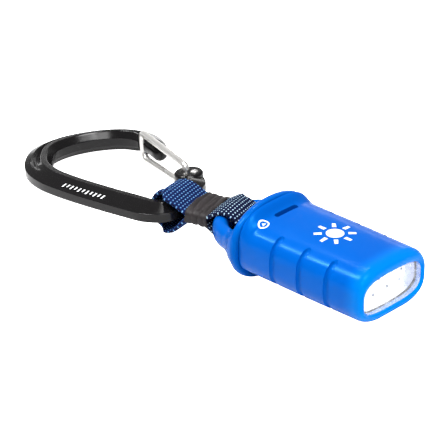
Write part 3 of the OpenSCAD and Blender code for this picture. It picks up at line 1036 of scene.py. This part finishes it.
def make_light_ring():
    """Ribbed white wall behind the lens, from the window back to the reflector."""
    rings = []
    rib_height = 0.16
    rib = rib_height * np.cos(np.arange(len(SHELL_RING)) * np.pi / 2)
    for x, inset in ((37.35, 0.30), (37.0, 0.8), (36.6, 1.7), (36.25, 2.2)):
        ring = WINDOW_RING * (WINDOW_HALF - inset * RING_TAPER - rib[:, None]) + [0, WINDOW_Z]
        rings.append(at_x(x, ring))
    for x, inset in ((36.02, 2.2), (36.02, 0.0), (37.35, 0.0)):
        rings.append(at_x(x, WINDOW_RING * (WINDOW_HALF - inset) + [0, WINDOW_Z]))
    ringed = make("light_ring", *loft(rings, wrap=True))
    finish_piece(ringed, "lamp", ring_material(), 50)


def make_pips():
    """Small grey pips on the reflector's front."""
    places = [(-6.9, 1.4), (-4.4, 2.2), (-3.3, -1.9), (-1.2, 1.7),
              (1.9, -1.6), (3.1, 2.3), (7.3, 1.2), (6.6, -1.5)]
    a = np.linspace(0, 2 * np.pi, 16, endpoint=False)
    verts, faces = [], []
    for y, z in places:
        rings = []
        for r, x in ((0.42, 36.0), (0.40, 36.15), (0.28, 36.3), (0.08, 36.36)):
            circle = np.column_stack([y + r * np.cos(a), WINDOW_Z + z + r * np.sin(a)])
            rings.append(at_x(x, circle))
        v, f = loft(rings)
        start = len(verts)
        verts += [tuple(p) for p in v]
        faces += [tuple(start + k for k in face) for face in f]
    pips = make("reflector_pips", verts, faces)
    n = moulded("pip_grey", (0.16, 0.17, 0.22, 1), (0.10, 0.11, 0.15, 1), 0.4)
    finish_piece(pips, "lamp", n.material, 50)


# -------------------- printed marks
def top_height(x, y):
    """Height of the shell's upper face above the lamp's axis."""
    narrow = 1 - 0.35 * smooth((x - 20) / 20) / SHELL_HALF[0]
    flare = 2.2 * (1 - smooth((x - SHELL_REAR) / 4.2)) ** 1.4
    share = (1 - (np.abs(y) / (SHELL_HALF[0] * narrow)) ** SHELL_POWER) ** (1 / SHELL_POWER)
    return share * (SHELL_HALF[1] + flare)


def patch(corner_a, corner_b, corner_c, corner_d, nu=8, nv=4):
    """A four-cornered patch of points, in the plane of the mark."""
    u, v = np.meshgrid(np.linspace(0, 1, nu + 1), np.linspace(0, 1, nv + 1), indexing="ij")
    a, b, c, d = (np.array(k, float) for k in (corner_a, corner_b, corner_c, corner_d))
    p = ((1 - u)[..., None] * ((1 - v)[..., None] * a + v[..., None] * d)
         + u[..., None] * ((1 - v)[..., None] * b + v[..., None] * c))
    row = nv + 1
    faces = [(i * row + j, (i + 1) * row + j, (i + 1) * row + j + 1, i * row + j + 1)
             for i in range(nu) for j in range(nv)]
    return p.reshape(-1, 2), faces


def annulus(mid, inner, outer):
    """A flat ring of points, in the plane of the mark."""
    count, layers = 48, 3
    p, faces = [], []
    for k in range(layers + 1):
        r = inner + (outer - inner) * k / layers
        for i in range(count):
            a = 2 * math.pi * i / count
            p.append((mid[0] + r * math.cos(a), mid[1] + r * math.sin(a)))
    for k in range(layers):
        for i in range(count):
            j = (i + 1) % count
            faces.append((k * count + i, (k + 1) * count + i, (k + 1) * count + j, k * count + j))
    return np.array(p), faces


INK_THICKNESS = 0.04
INK_LIFT = 0.015


def print_mark(name, patches, lift, body):
    """Lays flat patches on a surface, as a thin film of ink."""
    verts, faces = [], []
    for p, f in patches:
        start = len(verts)
        verts += [tuple(q) for q in lift(p)]
        faces += [tuple(start + k for k in face) for face in f]
    mark = make(name, verts, faces)
    solid = mark.modifiers.new("film", "SOLIDIFY")
    solid.thickness = INK_THICKNESS
    solid.offset = 0
    apply_modifiers(mark)
    finish_piece(mark, body, PRINT, 60)


def on_top(p):
    return in_lamp(np.column_stack([p[:, 0], p[:, 1], top_height(p[:, 0], p[:, 1]) + INK_LIFT]))


def make_marks():
    """A plain sun sign and a small slide sign in white print."""
    middle = np.array([20.6, 0.0])
    ray_from, ray_to, ray_half = 3.3, 5.3, 0.55
    parts = [annulus(middle, 0.02, 2.3)]
    for a in np.radians(np.arange(0, 360, 45)):
        c, s = math.cos(a), math.sin(a)
        out, side = np.array([c, s]), np.array([-s, c]) * ray_half
        near, far = middle + out * ray_from, middle + out * ray_to
        parts.append(patch(near - side, far - side * 0.8, far + side * 0.8, near + side))
    print_mark("sun_sign", parts, on_top, "lamp")
    small = np.array([3.9, -7.9])
    arrow = [small + [-0.6, 0], small + [0.35, -0.6], small + [0.35, 0.0], small + [0.35, 0.6]]
    parts = [annulus(small, 1.05, 1.45), patch(*arrow)]
    print_mark("slide_sign", parts, on_top, "lamp")


TICKS_FROM = -31.5
TICK_COUNT = 11
TICK_PITCH = 1.45
TICK_WIDTH = 0.5
TICK_LEAN = 0.3
TICK_START = 0.42
TICK_SHORT = 0.24
TICK_TALL = 0.32


def make_spine_ticks():
    """A row of slanted ticks on the outer chamfer of the spine."""
    line, _, outward = bar_lines()
    spine_side = -6
    keep = [i for i in range(len(line)) if line[i, 1] < spine_side]
    spine = line[keep]
    side = outward[keep]

    def lift(p):
        order = np.argsort(spine[:, 0])
        u = p[:, 0]
        v = np.interp(u, spine[order, 0], spine[order, 1])
        w = np.interp(u, spine[order, 0], spine[order, 2])
        nx = np.interp(u, spine[order, 0], side[order, 0])
        ny = np.interp(u, spine[order, 0], side[order, 1])
        inner, outer = np.array([-0.02, BAR_HALF_T]), np.array([1.0, 1.35])
        share = p[:, 1]
        n = (inner[0] + (outer[0] - inner[0]) * share) * w
        z = inner[1] + (outer[1] - inner[1]) * share
        return in_biner(np.column_stack([u + nx * n, v + ny * n, z + 2 * INK_LIFT]))

    parts = []
    for i in range(TICK_COUNT):
        u = TICKS_FROM + TICK_PITCH * i
        end = TICK_START + (TICK_SHORT if i % 2 else TICK_TALL)
        parts.append(patch((u, TICK_START), (u + TICK_WIDTH, TICK_START),
                           (u + TICK_WIDTH - TICK_LEAN, end), (u - TICK_LEAN, end), 2, 6))
    print_mark("spine_ticks", parts, lift, "carabiner")


# -------------------- inner parts
def dress_inner_nodes():
    """Materials for the CAD pieces that keep their own shape."""
    rubber = moulded("seal_rubber", (0.022, 0.022, 0.024, 1), (0.014, 0.014, 0.015, 1),
                     0.55, 2500, 1e-5).material
    grey_plastic = moulded("inner_grey", (0.12, 0.125, 0.13, 1), (0.09, 0.095, 0.10, 1),
                           0.45, 3000, 8e-6).material
    board = moulded("board_white", (0.80, 0.81, 0.79, 1), (0.70, 0.71, 0.69, 1),
                    0.4, 1500, 6e-6).material
    chip = moulded("chip_black", (0.028, 0.028, 0.030, 1), (0.016, 0.016, 0.018, 1),
                   0.6, 4200, 1.2e-5).material
    nickel = metal("contact_nickel", (0.74, 0.70, 0.60, 1), 0.30, (500, 2600, 2600)).material
    cell = metal("cell_steel", (0.72, 0.72, 0.73, 1), 0.26, (2200, 2200, 300)).material
    mirror = glow_material("reflector_lit", (0.93, 0.96, 1.0), 0.62, 0.2)
    led = glow_material("led_lit", (1.0, 0.99, 0.95), 3.0)
    looks = {
        rubber: ["lens_gasket", "tail_seal"],
        grey_plastic: ["module_retainer", "battery_tray"],
        board: ["led_board"],
        chip: ["driver_chip", "board_resistors"],
        nickel: ["contact_spring", "contact_strip", "cell_contact"],
        cell: ["coin_cell_lower", "coin_cell_upper"],
        mirror: ["reflector"],
        led: ["led_left", "led_middle", "led_right"],
    }
    for material, names in looks.items():
        for name in names:
            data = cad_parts[name].data
            data.materials.clear()
            data.materials.append(material)


# -------------------- stage, lights, camera
FLOOR_SEEN = 1.6
WORLD_SEEN = 1.0
WORLD_LIGHT = 0.22
CAMERA_AZIMUTH = math.radians(43.5)
CAMERA_ELEVATION = math.radians(28)
CAMERA_AWAY = 650
CAMERA_LENS = 206.3
CAMERA_LEFT = 12.48
CAMERA_RAISE = 2.53


def area_light(name, at, toward, size, power):
    light = bpy.data.lights.new(name, "AREA")
    light.shape = "RECTANGLE"
    light.size, light.size_y = size
    light.energy = power
    obj = bpy.data.objects.new(name, light)
    obj.location = at
    obj.rotation_euler = (Vector(toward) - Vector(at)).to_track_quat("-Z", "Y").to_euler()
    bpy.context.scene.collection.objects.link(obj)


def for_camera(tree, seen, unseen):
    """A strength that is seen for the picture's background and unseen for what lights the object."""
    path = tree.nodes.new("ShaderNodeLightPath")
    pick = tree.nodes.new("ShaderNodeMapRange")
    tree.links.new(path.outputs["Is Camera Ray"], pick.inputs["Value"])
    pick.inputs["To Min"].default_value = unseen
    pick.inputs["To Max"].default_value = seen
    return pick.outputs[0]


def make_stage():
    """White floor and backdrop, and the soft lights of a product photo."""
    mesh = bpy.data.meshes.new("floor")
    bm = bmesh.new()
    bmesh.ops.create_grid(bm, x_segments=8, y_segments=8, size=3)
    bm.to_mesh(mesh)
    bm.free()
    floor = bpy.data.objects.new("floor", mesh)
    bpy.context.scene.collection.objects.link(floor)
    n = Nodes("floor_white")
    n.set(Base_Color=n.mix(n.noise(3, 2), (0.86, 0.86, 0.86, 1), (0.88, 0.88, 0.88, 1)), Roughness=0.9,
          Emission_Color=(1, 1, 1, 1), Emission_Strength=for_camera(n.tree, FLOOR_SEEN, 0.0))
    n.shader.inputs["Specular IOR Level"].default_value = 0.0
    mesh.materials.append(n.material)
    world = bpy.data.worlds.new("studio")
    bpy.context.scene.world = world
    world.use_nodes = True
    back = world.node_tree.nodes["Background"]
    back.inputs[0].default_value = (1, 1, 1, 1)
    strength = for_camera(world.node_tree, WORLD_SEEN, WORLD_LIGHT)
    world.node_tree.links.new(strength, back.inputs[1])
    area_light("overhead_softbox", (0.28, -0.08, 0.88), (0, 0, 0), (0.28, 0.28), 5.6)
    area_light("key_softbox", (0.24, -0.30, 0.52), (0.01, 0, 0), (0.20, 0.26), 1.4)
    area_light("front_strip", (-0.36, -0.24, 0.66), (-0.03, 0, 0), (0.10, 0.26), 4.6)
    area_light("corner_light", (-0.32, 0.23, 0.69), (-0.01, 0, 0), (0.08, 0.10), 0.9)
    area_light("back_strip", (-0.50, 0.48, 0.16), (-0.02, 0.02, 0), (0.5, 0.05), 0.22)


def make_camera():
    """The photo's view, placed from the lamp's rear face so that the row keeps its place."""
    side, ahead = math.sin(CAMERA_AZIMUTH), math.cos(CAMERA_AZIMUTH)
    level, rise = math.cos(CAMERA_ELEVATION), math.sin(CAMERA_ELEVATION)
    back = Vector((level * side, -level * ahead, rise))
    right = Vector((ahead, side, 0.0))
    up = back.cross(right)
    place = Vector(LAMP) + back * CAMERA_AWAY - right * CAMERA_LEFT + up * CAMERA_RAISE
    data = bpy.data.cameras.new("camera")
    data.sensor_width = 36
    data.lens = CAMERA_LENS
    data.clip_start = 0.01
    data.clip_end = 50
    cam = bpy.data.objects.new("camera", data)
    cam.location = place * MM
    cam.rotation_euler = (-back).to_track_quat("-Z", "Y").to_euler()
    bpy.context.scene.collection.objects.link(cam)
    bpy.context.scene.camera = cam


make_camera()
make_stage()
make_shell()
make_cap()
make_webbing()
make_sleeve()
make_carabiner()
make_gate()
make_lens()
make_light_ring()
make_pips()
make_marks()
make_spine_ticks()
dress_inner_nodes()
bpy.context.scene.view_settings.view_transform = "Standard"
